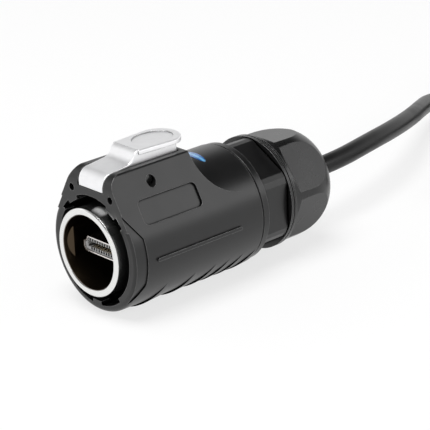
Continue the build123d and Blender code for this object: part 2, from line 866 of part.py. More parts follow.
# Sealing ring in the adapter's groove
ring_r = (ring_groove_deep - seat_gap) / 2
with BuildPart() as adapter_ring:
    with BuildSketch(Plane.XY):
        with Locations((ring_groove_r + ring_r, ring_groove_y + ring_groove_len / 2)):
            Circle(ring_r)
    revolve(axis=Axis.Y)
save(adapter_ring.part, "adapter_ring")

# Clamping cage: a ring with fingers that bend inwards
cage_r = cage_bore_r - slip
cage_inner_r = cage_r - cage_wall
nut_bore_r = neck_r + thread_fit
nut_front = hex_end + nut_gap
nut_shoulder = nut_front + nut_straight
nut_end = nut_shoulder + nut_dome_len
nut_bore_end = neck_end + nut_thread_out
nut_exit_r = cable_r + nut_exit_gap
cone_fall = (nut_bore_r - nut_exit_r) / (nut_end - nut_bore_end)
cage_taper_y = nut_bore_end + (nut_bore_r - cage_r - seat_gap) / cone_fall
cage_finger_end = cage_taper_y + cage_finger_len
cage_finger_tip_r = cage_r - cage_finger_len * cone_fall
with BuildPart() as cage:
    with BuildSketch(Plane.XY):
        with BuildLine():
            Polyline(
                (cage_inner_r, cage_seat_y),
                (cage_r, cage_seat_y),
                (cage_r, cage_taper_y),
                (cage_finger_tip_r, cage_finger_end),
                (cage_finger_tip_r - cage_wall, cage_finger_end),
                (cage_inner_r, cage_taper_y),
                close=True,
            )
        make_face()
    revolve(axis=Axis.Y)
    with BuildSketch(section(cage_seat_y + cage_base_len)):
        with PolarLocations(cage_r, cage_fingers):
            Rectangle(2 * cage_r, cage_slit)
    extrude(amount=cage_seat_y + cage_base_len - cage_finger_end, mode=Mode.SUBTRACT)
save(cage.part, "clamp_cage")

# Rubber bush round the cable, inside the cage
gland_seal_front = cage_seat_y + gland_seal_inset
with BuildPart() as gland_seal:
    with BuildSketch(section(gland_seal_front)):
        Circle(cage_inner_r - slip)
        Circle(cable_r + slip, mode=Mode.SUBTRACT)
    extrude(amount=gland_seal_front - cage_taper_y)
save(gland_seal.part, "gland_seal")

# Gland nut: a flange, a round barrel and dome, and six wrench facets
nut_r = nut_bore_r + nut_wall
nut_flange_r = nut_r + nut_flange_step
nut_line_y = nut_front + nut_flange_len / 2
facet_r = nut_r - facet_deep
facet_front = nut_front + facet_start
with BuildPart() as nut:
    with BuildSketch(Plane.XY):
        with BuildLine():
            front_edge = Polyline(
                (nut_bore_r, nut_front),
                (nut_flange_r, nut_front),
                (nut_flange_r, nut_line_y - nut_line_wide / 2),
                (nut_flange_r - nut_line_deep, nut_line_y - nut_line_wide / 2),
                (nut_flange_r - nut_line_deep, nut_line_y + nut_line_wide / 2),
                (nut_flange_r, nut_line_y + nut_line_wide / 2),
                (nut_flange_r, nut_front + nut_flange_len),
                (nut_r, nut_front + nut_flange_len),
                (nut_r, nut_shoulder),
            )
            dome = Spline(
                front_edge @ 1,
                *[(nut_r - fall, nut_shoulder + run) for fall, run in nut_dome],
                (nut_exit_r + nut_rim_wide, nut_end),
                tangents=[(0, 1), (-1, 0)],
            )
            Polyline(
                dome @ 1,
                (nut_exit_r, nut_end),
                (nut_bore_r, nut_bore_end),
                front_edge @ 0,
            )
        make_face()
    revolve(axis=Axis.Y)
    for number in range(facets):
        turn = facet_turn + number * 360 / facets
        with BuildSketch(Plane.XY.rotated((0, -turn, 0))):
            with BuildLine():
                Polyline(
                    (nut_flange_r, facet_front),
                    (nut_r, facet_front),
                    (facet_r, facet_front + facet_runout),
                    (facet_r - facet_fall, nut_end + overcut),
                    (nut_flange_r, nut_end + overcut),
                    close=True,
                )
            make_face()
        extrude(amount=nut_r, both=True, mode=Mode.SUBTRACT)
save(nut.part, "gland_nut")

# Cable: straight through the gland, then falling to the floor in an uncoiled stretch


def leg(first, second):
    """Vector from one route point to the next."""
    return Vector(*second) - Vector(*first)


def bend_radii(route):
    """Bend radius at each inner point: as wide as the shorter run beside it allows."""
    radii = []
    for before, here, after in zip(route, route[1:], route[2:]):
        come = leg(before, here)
        go = leg(here, after)
        half_turn = radians(come.get_angle(go) / 2)
        radii.append(0.45 * min(come.length, go.length) / tan(half_turn))
    return radii


def tube(route):
    """Round cable along straight runs joined by arcs."""
    with BuildPart() as piece:
        with BuildLine():
            path = FilletPolyline(*route, radius=bend_radii(route))
        with BuildSketch(Plane(origin=path @ 0, z_dir=path % 0)):
            Circle(cable_r)
        sweep(path=path)
    return piece.part, path.length


cable_route = [(0.0, cable_exit_y, 0.0), *cable_points, *[(x, y, lay_z) for x, y in lay_points]]
print("cable bend radii", [round(radius, 1) for radius in bend_radii(cable_route)])
uncoiled, uncoiled_len = tube(cable_route)
with BuildPart() as cable:
    with BuildSketch(section(jacket_start)):
        Circle(cable_r)
    extrude(amount=jacket_start - cable_route[0][1])
    add(uncoiled)
save(cable.part, "cable")

# Coil: two layers of two turns as one ring, with a straight lead at each end
lead_way = leg(cable_route[-2], cable_route[-1]).normalized()
inward = Vector(lead_way.Y, -lead_way.X, 0)
outer_turn_r = coil_mean_r + cable_r
lead_start = Vector(*cable_route[-1])
coil_centre = lead_start + lead_way * coil_lead + inward * outer_turn_r
coil_middle = Vector(coil_centre.X, coil_centre.Y, floor_z + 2 * cable_r)
out_spoke = Vector(cos(radians(coil_out_angle)), sin(radians(coil_out_angle)), 0)
out_way = Vector(out_spoke.Y, -out_spoke.X, 0)
out_start = coil_middle + out_spoke * outer_turn_r + Vector(0, 0, cable_r)
tail_start = out_start + out_way * coil_lead
coil_size = 4 * cable_r

with BuildPart() as coil_ring:
    with BuildSketch(Plane.XZ):
        with Locations((coil_mean_r, 0)):
            RectangleRounded(coil_size, coil_size, coil_round)
    revolve(axis=Axis.Z)

# Shape of the tie: a short arc of the coil's section, thickened inwards
with BuildPart() as tie_shape:
    with BuildSketch(Plane.XZ):
        with Locations((coil_mean_r, 0)):
            RectangleRounded(coil_size, coil_size, coil_round)
            RectangleRounded(
                coil_size - 2 * tie_thick,
                coil_size - 2 * tie_thick,
                coil_round - tie_thick,
                mode=Mode.SUBTRACT,
            )
    revolve(axis=Axis.Z, revolution_arc=degrees(tie_wide / coil_mean_r))

tie_place = Location(coil_middle, (0, 0, tie_angle))
save(tie_place * tie_shape.part, "coil_tie")

with BuildPart() as coil:
    with Locations(coil_middle):
        add(coil_ring.part)
    for start, way in ((lead_start, lead_way), (out_start, out_way)):
        with BuildSketch(Plane(origin=start, z_dir=way)):
            Circle(cable_r)
        extrude(amount=coil_lead)
    with Locations(tie_place):
        add(tie_shape.part, mode=Mode.SUBTRACT)
save(coil.part, "cable_coil")

# Tail of the cable, coming down to the far plug's height
plug_z = floor_z + grip_high / 2
fall = tail_start.Z - plug_z
slope_level = sqrt(tail_runs[1] ** 2 - fall ** 2)
tail_points = [tail_start]
for run, drop in ((tail_runs[0], 0), (slope_level, fall), (tail_runs[2], 0)):
    tail_points.append(tail_points[-1] + out_way * run - Vector(0, 0, drop))
print("tail bend radii", [round(radius, 1) for radius in bend_radii(tail_points)])
tail, tail_len = tube(tail_points)
save(tail, "cable_tail")

# Far plug, drawn with its mouth at the origin and then set on the end of the tail
grip_end = far_plug_out + grip_len
relief_end = grip_end + relief_len
far_rear = far_plug_out + far_plug_in
far_place = Location(
    tail_points[-1] + out_way * relief_end,
    (0, 0, coil_out_angle),
)

with BuildPart() as relief:
    with BuildSketch(Plane.XY):
        with BuildLine():
            Polyline(
                (0, grip_end),
                (relief_r, grip_end),
                (relief_tip_r, relief_end),
                (0, relief_end),
                close=True,
            )
        make_face()
    revolve(axis=Axis.Y)
    ring_pitch = relief_len / (relief_rings + 1)
    for number in range(relief_rings):
        with BuildSketch(section(grip_end + ring_pitch * (number + 1) - relief_cut_wide / 2)):
            Circle(relief_r + weld)
            Circle(relief_tip_r - relief_cut_deep + weld * (relief_rings - number), mode=Mode.SUBTRACT)
        extrude(amount=-relief_cut_wide, mode=Mode.SUBTRACT)
save(far_place * relief.part, "far_strain_relief")

with BuildPart() as grip:
    with BuildSketch(section(far_plug_out)):
        RectangleRounded(grip_wide, grip_high, grip_corner)
    extrude(amount=-grip_len)
    fillet(grip.faces().filter_by(Axis.Y).edges(), grip_edge_r)
    with BuildSketch(section(far_plug_out)):
        add(plug_section(-pressed))
    extrude(amount=-far_plug_in - contact_tail - seat_gap, mode=Mode.SUBTRACT)
save(far_place * grip.part, "far_grip")

save(far_place * plug_shell(0, far_rear), "far_plug_shell")
save(far_place * plug_insulator(0, far_rear), "far_plug_insulator")
save(far_place * contact_row(0, far_rear, 1, upper_count), "far_upper_contacts")
save(far_place * contact_row(0, far_rear, -1, lower_count), "far_lower_contacts")

lead_angle = degrees(atan2(lead_way.Y, lead_way.X)) + 90
winds = coil_full_turns + (lead_angle - coil_out_angle) / 360
coil_len = 2 * coil_lead + winds * 2 * pi * coil_mean_r
print("coil centre", coil_middle, "tail start", tail_start, "plug tip", far_place.position)
print("free length", round(uncoiled_len + coil_len + tail_len, 1))
print("uncoiled volume", round(uncoiled.volume), round(pi * cable_r ** 2 * uncoiled_len))
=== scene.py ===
import math

import bmesh
import bpy
from bpy.props import FloatProperty, FloatVectorProperty, IntProperty, PointerProperty
from mathutils import Matrix, Vector


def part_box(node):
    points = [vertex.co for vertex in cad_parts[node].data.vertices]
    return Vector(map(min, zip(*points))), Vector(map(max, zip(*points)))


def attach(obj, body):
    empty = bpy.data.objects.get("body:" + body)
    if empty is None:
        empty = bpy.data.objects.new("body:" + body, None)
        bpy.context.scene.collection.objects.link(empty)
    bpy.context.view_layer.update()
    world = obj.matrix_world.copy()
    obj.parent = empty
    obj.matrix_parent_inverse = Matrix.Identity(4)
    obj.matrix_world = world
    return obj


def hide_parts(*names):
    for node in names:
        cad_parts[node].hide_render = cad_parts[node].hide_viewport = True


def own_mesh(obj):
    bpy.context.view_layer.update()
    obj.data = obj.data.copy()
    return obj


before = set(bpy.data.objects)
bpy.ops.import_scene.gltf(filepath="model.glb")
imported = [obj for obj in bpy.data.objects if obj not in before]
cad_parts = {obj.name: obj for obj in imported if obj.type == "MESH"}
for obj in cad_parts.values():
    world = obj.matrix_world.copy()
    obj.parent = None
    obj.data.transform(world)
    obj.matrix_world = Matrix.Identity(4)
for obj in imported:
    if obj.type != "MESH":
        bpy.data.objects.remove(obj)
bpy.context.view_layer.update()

bl_info = {
    "name": "Latch-locking cable plug",
    "version": (1, 0, 0),
    "blender": (4, 5, 0),
    "location": "View3D > Sidebar > Cable plug",
    "description": "Finishes, cable and studio of a circular plug with a flat insert",
    "category": "Object",
}

BODY = "plug_body"
FLOOR_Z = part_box("housing")[0][2]

# Pieces by finish
HOUSING_PIECES = ["housing", "rear_adapter"]
NUT_PIECES = ["gland_nut", "clamp_cage"]
RUBBER_PIECES = ["face_seal", "adapter_ring", "gland_seal", "far_strain_relief"]
DARK_INSERT_PIECES = ["insert_carrier"]
INSULATOR_PIECES = ["av_plug_insulator", "far_plug_insulator"]
PLUG_SHELL_PIECES = ["av_plug_shell", "far_plug_shell"]
CONTACT_PIECES = sorted(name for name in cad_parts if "contact" in name)
FAR_PIECES = ["coil_tie", "far_strain_relief", "far_grip", "far_plug_shell", "far_plug_insulator"]
FAR_PIECES += [name for name in CONTACT_PIECES if name.startswith("far")]

# Sizes of patterns, of worn edges with their painted highlight, of painted shade in grooves and of the
# painted glint on the mark, in metres
EDGE_ROUNDING = 0.00028
GROOVE_REACH = 0.0011
BORE_EDGE = (0.01026, 0.01052)  # radii at the sleeve's mouth where the bore ends
LATHE_PITCH = 0.00007
CONTACT_PITCH = 0.001
SOLDER_PAD_SIDE = (0.00022, 0.00028)
SOLDER_PAD_END = (0.0022, 0.0024)
WIRE_PITCH = 0.0009
# Half-widths of the painted glint along the index mark: full inside the first, gone past the second
MARK_GLINT_SIDE = (0.00012, 0.0006)

# Where the cable passes from one row of the coil to the next, in turns from its start
INWARD_PASS = (0.84, 1.0)
UPWARD_PASS = (1.7, 1.86)
OUTWARD_PASS = (2.53, 2.7)
PINCH_END = (3.0, 20.0)  # degrees from the tie

# Studio: the floor's reach and glow, the dark ceiling by the height of its direction, and the lamps
FLOOR_REACH = 3.0
FLOOR_GLOW = 0.72
CEILING_EDGE = (0.44, 0.66)
CEILING_DARKNESS = 0.985
AIM = (0.0, 0.04, 0.0)
LAMPS = {
    # name: (place, size, watts)
    "top_lamp": ((0.1, -0.25, 1.2), (0.8, 0.8), 14.0),
    "side_lamp": ((0.8, 0.79, 0.5), (0.7, 0.45), 1.7),
    "left_lamp": ((-0.85, -0.42, 0.75), (0.8, 0.6), 0.65),
    "mouth_lamp": ((0.1, -0.95, 0.3), (0.3, 0.3), 0.6),
}


# Shader maths


class Amount:
    """A number that varies from place to place, with Python's arithmetic on it."""

    def __init__(self, shading, socket):
        self.shading = shading
        self.socket = socket

    def with_other(self, operation, other, swapped=False):
        """The amount that one operation makes of this one and another."""
        first, second = (other, self) if swapped else (self, other)
        made = self.shading.node("ShaderNodeMath", {"operation": operation}, {0: first, 1: second})
        return Amount(self.shading, made.outputs[0])

    def __add__(self, other):
        return self.with_other("ADD", other)

    __radd__ = __add__

    def __sub__(self, other):
        return self.with_other("SUBTRACT", other)

    def __rsub__(self, other):
        return self.with_other("SUBTRACT", other, swapped=True)

    def __mul__(self, other):
        return self.with_other("MULTIPLY", other)

    __rmul__ = __mul__

    def __truediv__(self, other):
        return self.with_other("DIVIDE", other)

    def __rtruediv__(self, other):
        return self.with_other("DIVIDE", other, swapped=True)

    def __pow__(self, other):
        return self.with_other("POWER", other)

    def __rpow__(self, other):
        return self.with_other("POWER", other, swapped=True)

    def __mod__(self, other):
        return self.with_other("FLOORED_MODULO", other)

    def __rmod__(self, other):
        return self.with_other("FLOORED_MODULO", other, swapped=True)

    def between(self, low, high):
        """0 under low, 1 over high, smooth in between."""
        ramp = self.shading.node(
            "ShaderNodeMapRange",
            {"interpolation_type": "SMOOTHSTEP", "clamp": True},
            {"Value": self, "From Min": low, "From Max": high, "To Min": 0.0, "To Max": 1.0},
        )
        return Amount(self.shading, ramp.outputs[0])


class Shading:
    """The nodes of a material or of the world."""

    def __init__(self, owner):
        owner.use_nodes = True
        self.tree = owner.node_tree

    def node(self, kind, settings=None, inputs=None):
        """A node of a type, with its settings made first and then its values or links."""
        made = self.tree.nodes.new(kind)
        for setting, value in (settings or {}).items():
            setattr(made, setting, value)
        for name, value in (inputs or {}).items():
            self.feed(made.inputs[name], value)
        return made

    def feed(self, socket, value):
        """Links a socket to an amount or another socket, or sets its value."""
        if isinstance(value, Amount):
            value = value.socket
        if isinstance(value, bpy.types.NodeSocket):
            self.tree.links.new(value, socket)
        elif hasattr(value, "__len__") and len(value) == 3 and len(socket.default_value) == 4:
            socket.default_value = (*value, 1.0)
        else:
            socket.default_value = value


class Finish(Shading):
    """One material: its nodes, and the shader that they feed."""

    def __init__(self, name):
        self.material = bpy.data.materials.new(name)
        super().__init__(self.material)
        self.shader = self.tree.nodes["Principled BSDF"]
        self.place = self.node("ShaderNodeTexCoord").outputs["Object"]

    def noise(self, size, detail=2.0, stretch=(1.0, 1.0, 1.0)):
        """Cloudy noise from 0 to 1 with features of this size in metres."""
        scale = tuple(part / size for part in stretch)
        spread = self.node("ShaderNodeMapping", inputs={"Vector": self.place, "Scale": scale})
        texture = self.node(
            "ShaderNodeTexNoise",
            {"noise_dimensions": "3D"},
            {"Vector": spread.outputs[0], "Scale": 1.0, "Detail": detail, "Roughness": 0.55},
        )
        return Amount(self, texture.outputs[0])

    def cells(self, size):
        """Distance to the nearest of many scattered points, for a pebbled or spotted surface."""
        texture = self.node(
            "ShaderNodeTexVoronoi", {"feature": "F1"}, {"Vector": self.place, "Scale": 1.0 / size}
        )
        return Amount(self, texture.outputs["Distance"])

    def axis(self, index):
        """The place along X, Y or Z in metres."""
        split = self.node("ShaderNodeSeparateXYZ", inputs={0: self.place})
        return Amount(self, split.outputs[index])

    def from_axis(self):
        """Distance in metres from the plug's axis, which is Y."""
        across = self.axis(0)
        up = self.axis(2)
        return (across * across + up * up) ** 0.5

    def blend(self, amount, low, high):
        """Colour that goes from low to high with the amount."""
        mixed = self.node(
            "ShaderNodeMix", {"data_type": "RGBA", "clamp_factor": True}, {0: amount, 6: low, 7: high}
        )
        return mixed.outputs[2]

    def edges(self, radius):
        """Two results: the normal rounded at edges, and 0 on flats to 1 on sharp edges."""
        rounded = self.node("ShaderNodeBevel", {"samples": 6}, {"Radius": radius})
        shape = self.node("ShaderNodeNewGeometry")
        facing = self.node(
            "ShaderNodeVectorMath",
            {"operation": "DOT_PRODUCT"},
            {0: rounded.outputs[0], 1: shape.outputs["Normal"]},
        )
        sharp = (1.0 - Amount(self, facing.outputs["Value"])).between(0.004, 0.12)
        return rounded.outputs[0], sharp

    def crevices(self, reach):
        """1 deep in grooves and inner corners, 0 in the open; the finishes paint shade with it."""
        sky = self.node(
            "ShaderNodeAmbientOcclusion", {"samples": 16, "only_local": False}, {"Distance": reach}
        )
        return 1.0 - Amount(self, sky.outputs["AO"]).between(0.4, 0.92)

    def relief(self, height, depth, normal=None):
        """Bump that stands up to this depth in metres where the height is 1."""
        bump = self.node("ShaderNodeBump", inputs={"Strength": 1.0, "Distance": depth, "Height": height})
        if normal is not None:
            self.feed(bump.inputs["Normal"], normal)
        return bump.outputs[0]

    def surface(self, **values):
        """Feeds the shader: colour=, rough=, metal=, normal= and other sockets by name."""
        names = {"colour": "Base Color", "rough": "Roughness", "metal": "Metallic", "normal": "Normal"}
        for name, value in values.items():
            socket = names.get(name, name.replace("_", " "))
            self.feed(self.shader.inputs[socket], value)
        return self.material


def grey(level):
    """Neutral colour of this level."""
    return (level, level, level)


def scaled(colour, factor):
    """Colour made lighter or darker by a factor."""
    return tuple(min(1.0, part * factor) for part in colour)


# Finishes


def moulded_plastic(name, colour, wear_and_highlight_colour, rough, grain, edge=EDGE_ROUNDING):
    """Satin moulded plastic with a fine spark-eroded grain, edges painted lighter as wear and as a painted
    highlight, and painted shade in grooves and inner corners.
    """
    finish = Finish(name)
    normal, sharp = finish.edges(edge)
    clouds = finish.noise(0.006)
    grains = finish.cells(grain)
    # Painted shade: grooves and inner corners are darkened and made metallic, which also darkens their
    # reflection.
    painted_crevice_shade = finish.crevices(GROOVE_REACH)
    # Edges painted lighter: partly wear from handling, partly a painted highlight along the edges; kept out
    # of the painted crevice shade.
    rubbed = sharp * finish.noise(0.0016, detail=4.0).between(0.12, 0.52) * (1.0 - painted_crevice_shade)
    base = finish.blend(clouds, scaled(colour, 0.82), scaled(colour, 1.18))
    wear_and_highlight = finish.blend(rubbed, base, wear_and_highlight_colour)
    return finish.surface(
        colour=finish.blend(painted_crevice_shade, wear_and_highlight, scaled(colour, 0.2)),
        rough=rough + (clouds - 0.5) * 0.08 - rubbed * 0.08,
        metal=painted_crevice_shade,
        normal=finish.relief(grains, grain * 0.025, normal),
        Specular_IOR_Level=0.5,
    )


def turned_metal(name, colour, bore_colour, rough):
    """Plated sleeve with the fine rings that the lathe left on its end face; dark bronze in the bore."""
    finish = Finish(name)
    normal, sharp = finish.edges(0.00012)
    radius = finish.from_axis()
    lines = finish.node(
        "ShaderNodeTexNoise",
        {"noise_dimensions": "1D"},
        {"W": radius / LATHE_PITCH, "Scale": 1.0, "Detail": 1.0},
    )
    rings = Amount(finish, lines.outputs[0])
    film = finish.noise(0.004)
    bore = 1.0 - radius.between(*BORE_EDGE)
    outside = finish.blend(film, scaled(colour, 0.94), colour)
    return finish.surface(
        colour=finish.blend(bore, outside, bore_colour),
        rough=rough + (film - 0.5) * 0.06 + sharp * 0.05 + bore * 0.12,
        metal=1.0,
        normal=finish.relief(rings, 0.0000035, normal),
    )


def cast_metal(name, colour, rough):
    """Satin die-cast zinc: softly mottled, with a fine blasted skin, polished edges and painted shade in its
    grooves and inner corners.
    """
    finish = Finish(name)
    normal, sharp = finish.edges(EDGE_ROUNDING)
    mottle = finish.noise(0.0032, detail=3.0)
    skin = finish.noise(0.00016, detail=2.0)
    rubbed = sharp * finish.noise(0.0012).between(0.4, 0.7)
    # Painted shade: grooves and inner corners are darkened, such as the seam under the pad's plate.
    painted_crevice_shade = finish.crevices(GROOVE_REACH)
    skin_colour = finish.blend(mottle, scaled(colour, 0.93), scaled(colour, 1.04))
    return finish.surface(
        colour=finish.blend(painted_crevice_shade * 0.9, skin_colour, scaled(colour, 0.12)),
        rough=rough + (mottle - 0.5) * 0.08 - rubbed * 0.12,
        metal=1.0,
        normal=finish.relief(skin + mottle * 0.6, 0.000008, normal),
    )


def sheet_metal(name, colour, rough):
    """Bright plated sheet with faint rolling lines along the plug."""
    finish = Finish(name)
    normal, sharp = finish.edges(0.00006)
    rolled = finish.noise(0.00025, stretch=(1.0, 0.04, 1.0))
    return finish.surface(
        colour=finish.blend(rolled, scaled(colour, 0.93), colour),
        rough=rough + (rolled - 0.5) * 0.08 + sharp * 0.04,
        metal=1.0,
        normal=finish.relief(rolled, 0.000002, normal),
    )


def spring_steel(name, colour, rough):
    """Drawn steel with fine lines, for the spring and the pin."""
    finish = Finish(name)
    drawn = finish.noise(0.0002, stretch=(0.2, 1.0, 1.0))
    return finish.surface(
        colour=finish.blend(drawn, scaled(colour, 0.85), colour),
        rough=rough + (drawn - 0.5) * 0.12,
        metal=1.0,
        normal=finish.relief(drawn, 0.000003),
    )


def soft_rubber(name, colour, rough):
    """Black rubber with a dusty bloom."""
    finish = Finish(name)
    normal, sharp = finish.edges(0.00015)
    bloom = finish.noise(0.0022, detail=4.0).between(0.35, 0.8)
    grain = finish.noise(0.00018)
    return finish.surface(
        colour=finish.blend(bloom * 0.4 + sharp * 0.1, colour, scaled(colour, 2.0)),
        rough=rough + bloom * 0.1,
        metal=0.0,
        normal=finish.relief(grain, 0.000008, normal),
        Specular_IOR_Level=0.4,
    )


def printed_board(name, colour):
    """Green board with solder pads in rows at its front end."""
    finish = Finish(name)
    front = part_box("solder_board")[0][1]
    along = finish.axis(1) - front
    from_pad = (finish.axis(0) + CONTACT_PITCH / 2) % CONTACT_PITCH - CONTACT_PITCH / 2
    pad_side, pad_outside = SOLDER_PAD_SIDE
    in_row = 1.0 - (from_pad * from_pad).between(pad_side ** 2, pad_outside ** 2)
    pad = in_row * (1.0 - along.between(*SOLDER_PAD_END))
    weave = finish.noise(0.0004)
    return finish.surface(
        colour=finish.blend(pad, finish.blend(weave, scaled(colour, 0.8), colour), (0.62, 0.6, 0.55)),
        rough=0.42 - pad * 0.15,
        metal=pad * 0.9,
        normal=finish.relief(weave + pad * 0.5, 0.00001),
    )


def wire_bundle(name, colour):
    """Insulated wires side by side, in muted colours."""
    finish = Finish(name)
    wires = finish.node(
        "ShaderNodeTexVoronoi",
        {"feature": "F1", "voronoi_dimensions": "1D"},
        {"W": finish.axis(0) / WIRE_PITCH, "Scale": 1.0},
    )
    between = Amount(finish, wires.outputs["Distance"]).between(0.25, 0.5)
    tint = finish.blend(0.35, colour, wires.outputs["Color"])
    return finish.surface(
        colour=finish.blend(between, tint, scaled(colour, 0.15)),
        rough=0.45 + between * 0.2,
        metal=0.0,
        normal=finish.relief(1.0 - between, 0.00012),
    )


def printed_mark(name, colour):
    """Glossy paint with slight clouds, and a pale painted glint along the middle."""
    finish = Finish(name)
    clouds = finish.noise(0.0012)
    from_middle = finish.axis(1) - middle_of("index_mark").y
    glint_core, glint_edge = MARK_GLINT_SIDE
    painted_glint = 1.0 - (from_middle * from_middle).between(glint_core ** 2, glint_edge ** 2)
    base = finish.blend(clouds, scaled(colour, 0.8), scaled(colour, 1.15))
    return finish.surface(
        # Painted glint: a pale streak along the mark's middle.
        colour=finish.blend(painted_glint * clouds, base, (0.25, 0.62, 0.9)),
        rough=0.1 + clouds * 0.06,
        metal=0.0,
        normal=finish.relief(clouds, 0.00001),
        Coat_Weight=0.6,
    )


def cable_jacket(name, colour, rough):
    """Extruded jacket: smooth, with a faint waviness and dull patches from handling."""
    finish = Finish(name)
    waves = finish.noise(0.004)
    dull = finish.noise(0.012, detail=4.0).between(0.45, 0.8)
    fine = finish.noise(0.0003)
    return finish.surface(
        colour=finish.blend(dull * 0.5, colour, scaled(colour, 1.8)),
        rough=rough + dull * 0.12,
        metal=0.0,
        normal=finish.relief(waves + fine * 0.15, 0.00002),
        Specular_IOR_Level=0.22,
    )


def dress(names, material):
    """Gives CAD pieces their finish."""
    for name in names:
        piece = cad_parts[name]
        piece.data.materials.clear()
        piece.data.materials.append(material)


# Cable and spring


def spline_piece(name, points, radius, material):
    """Round cord or wire along a smooth line with these control points."""
    curve = bpy.data.curves.new(name, "CURVE")
    curve.dimensions = "3D"
    line = curve.splines.new("NURBS")
    line.points.add(len(points) - 1)
    for point, place in zip(line.points, points):
        point.co = (*place, 1.0)
    line.order_u = 3
    line.use_endpoint_u = True
    line.resolution_u = 8
    curve.bevel_depth = radius
    curve.bevel_resolution = 5
    curve.use_fill_caps = True
    curve.materials.append(material)
    piece = bpy.data.objects.new(name, curve)
    bpy.context.scene.collection.objects.link(piece)
    return piece


def spring_points(low, high, settings):
    """Control points along the wire of the latch's spring, from its seat up."""
    middle = (low + high) / 2
    radius = (high.x - low.x) / 2 - settings.wire_radius
    last = settings.turns * settings.points_a_turn
    rise = (high.z - low.z - 2 * settings.wire_radius) / last
    points = []
    for step in range(last + 1):
        turn = 2 * math.pi * step / settings.points_a_turn
        out = Vector((math.cos(turn), math.sin(turn), 0.0)) * radius
        points.append(Vector((middle.x, middle.y, low.z + settings.wire_radius + rise * step)) + out)
    return points


def middle_of(name):
    """Middle of a CAD piece's box."""
    low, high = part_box(name)
    return (low + high) / 2


def coil_points(start, way, out_angle, settings):
    """Control points of the put-away turns: outer and lower first, then inner, upper, outer.

    Under the tie the turns are pinched towards the middle of the bundle.
    """
    across = 2 * settings.radius
    inward = Vector((way.y, -way.x, 0.0))
    centre = start + way * settings.coil_lead + inward * (settings.coil_radius + settings.radius)
    first = math.degrees(math.atan2(way.y, way.x)) + 90.0
    turns = settings.coil_turns + (first - out_angle) / 360.0
    steps = round(turns * settings.points_a_turn)
    widen = 2.0 / (1.0 + math.cos(math.radians(180.0 * turns / steps)) ** 2)
    tie = middle_of("coil_tie") - centre
    tie_angle = math.degrees(math.atan2(tie.y, tie.x))
    points = []
    for step in range(steps + 1):
        turn = turns * step / steps
        degrees = first - 360.0 * turn
        from_tie = abs((degrees - tie_angle + 180.0) % 360.0 - 180.0)
        pinch = settings.pinch * (1.0 - smooth(from_tie, *PINCH_END))
        sideways = smooth(turn, *INWARD_PASS) - smooth(turn, *OUTWARD_PASS) - 0.5
        upwards = smooth(turn, *UPWARD_PASS) - 0.5
        radius = settings.coil_radius - across * sideways * (1.0 - pinch)
        height = across * (0.5 + upwards * (1.0 - pinch))
        spoke = Vector((math.cos(math.radians(degrees)), math.sin(math.radians(degrees)), 0.0))
        points.append(centre + spoke * radius * widen + Vector((0.0, 0.0, height)))
    return points


def smooth(value, low, high):
    """0 under low, 1 over high, smooth in between."""
    share = min(1.0, max(0.0, (value - low) / (high - low)))
    return share * share * (3.0 - 2.0 * share)


def cable_points(settings):
    """Listed route over the floor, the turns of the coil, and the tail into the far plug."""
    lay = FLOOR_Z + settings.radius
    route = [
        Vector(place)
        for place in (
            (0.0, 0.0805, 0.0),
            (0.0, 0.093, 0.0),
            (-0.0039, 0.1117, 0.0),
            (-0.0097, 0.1294, -0.0015),
            (-0.0176, 0.1462, -0.0038),
            (-0.0273, 0.1622, -0.0068),
            (-0.035, 0.1754, -0.0096),
            (-0.0398, 0.1954, lay),
            (-0.0433, 0.2096, lay),
        )
    ]
    way = (route[-1] - route[-2]).normalized()
    out_angle = settings.coil_out_angle
    coil = coil_points(route[-1], way, math.degrees(out_angle), settings)
    out_way = Vector((math.sin(out_angle), -math.cos(out_angle), 0.0))
    tail = [coil[-1] + out_way * settings.coil_lead]
    fall = tail[0].z - middle_of("far_grip").z
    level = math.sqrt(settings.tail_slope ** 2 - fall ** 2)
    for run, drop in ((settings.tail_run, 0.0), (level, fall), (settings.tail_run, 0.0)):
        tail.append(tail[-1] + out_way * run - Vector((0.0, 0.0, drop)))
    return route + coil + tail


# Sizes and colours that a user may change


class CableSettings(bpy.types.PropertyGroup):
    """The lead, from the gland nut to the far plug"""

    radius: FloatProperty(name="Radius", description="Radius of the jacket", default=0.00285, unit="LENGTH")
    length: FloatProperty(
        name="Length", description="Free length from the gland to the far plug", default=0.9086, unit="LENGTH"
    )
    coil_radius: FloatProperty(
        name="Coil radius", description="Mean radius of the put-away coil", default=0.0314, unit="LENGTH"
    )
    coil_turns: IntProperty(name="Coil turns", description="Full turns of the put-away coil", default=3)
    coil_lead: FloatProperty(
        name="Coil lead",
        description="Straight stretch at each end of the coil",
        default=0.0204,
        unit="LENGTH",
    )
    coil_out_angle: FloatProperty(
        name="Coil exit",
        description="Place on the coil where the tail leaves it",
        default=math.radians(-1.0),
        subtype="ANGLE",
    )
    points_a_turn: IntProperty(name="Points a turn", description="Control points in a turn", default=36)
    pinch: FloatProperty(
        name="Pinch", description="How far the tie presses the turns together", default=0.28, subtype="FACTOR"
    )
    tail_run: FloatProperty(
        name="Tail run", description="Level runs of the tail", default=0.009, unit="LENGTH"
    )
    tail_slope: FloatProperty(
        name="Tail slope", description="Sloping run of the tail", default=0.0125, unit="LENGTH"
    )
    colour: FloatVectorProperty(
        name="Colour", description="Colour of the jacket", default=grey(0.006), subtype="COLOR"
    )


class SpringSettings(bpy.types.PropertyGroup):
    """The spring under the latch's pad"""

    turns: IntProperty(name="Turns", description="Turns of the spring", default=5)
    points_a_turn: IntProperty(name="Points a turn", description="Control points in a turn", default=16)
    wire_radius: FloatProperty(
        name="Wire radius", description="Radius of the spring's wire", default=0.0003, unit="LENGTH"
    )
    pad_travel: FloatProperty(
        name="Pad travel",
        description="How far the pad's pocket comes down at the spring's far side",
        default=0.00156,
        unit="LENGTH",
    )


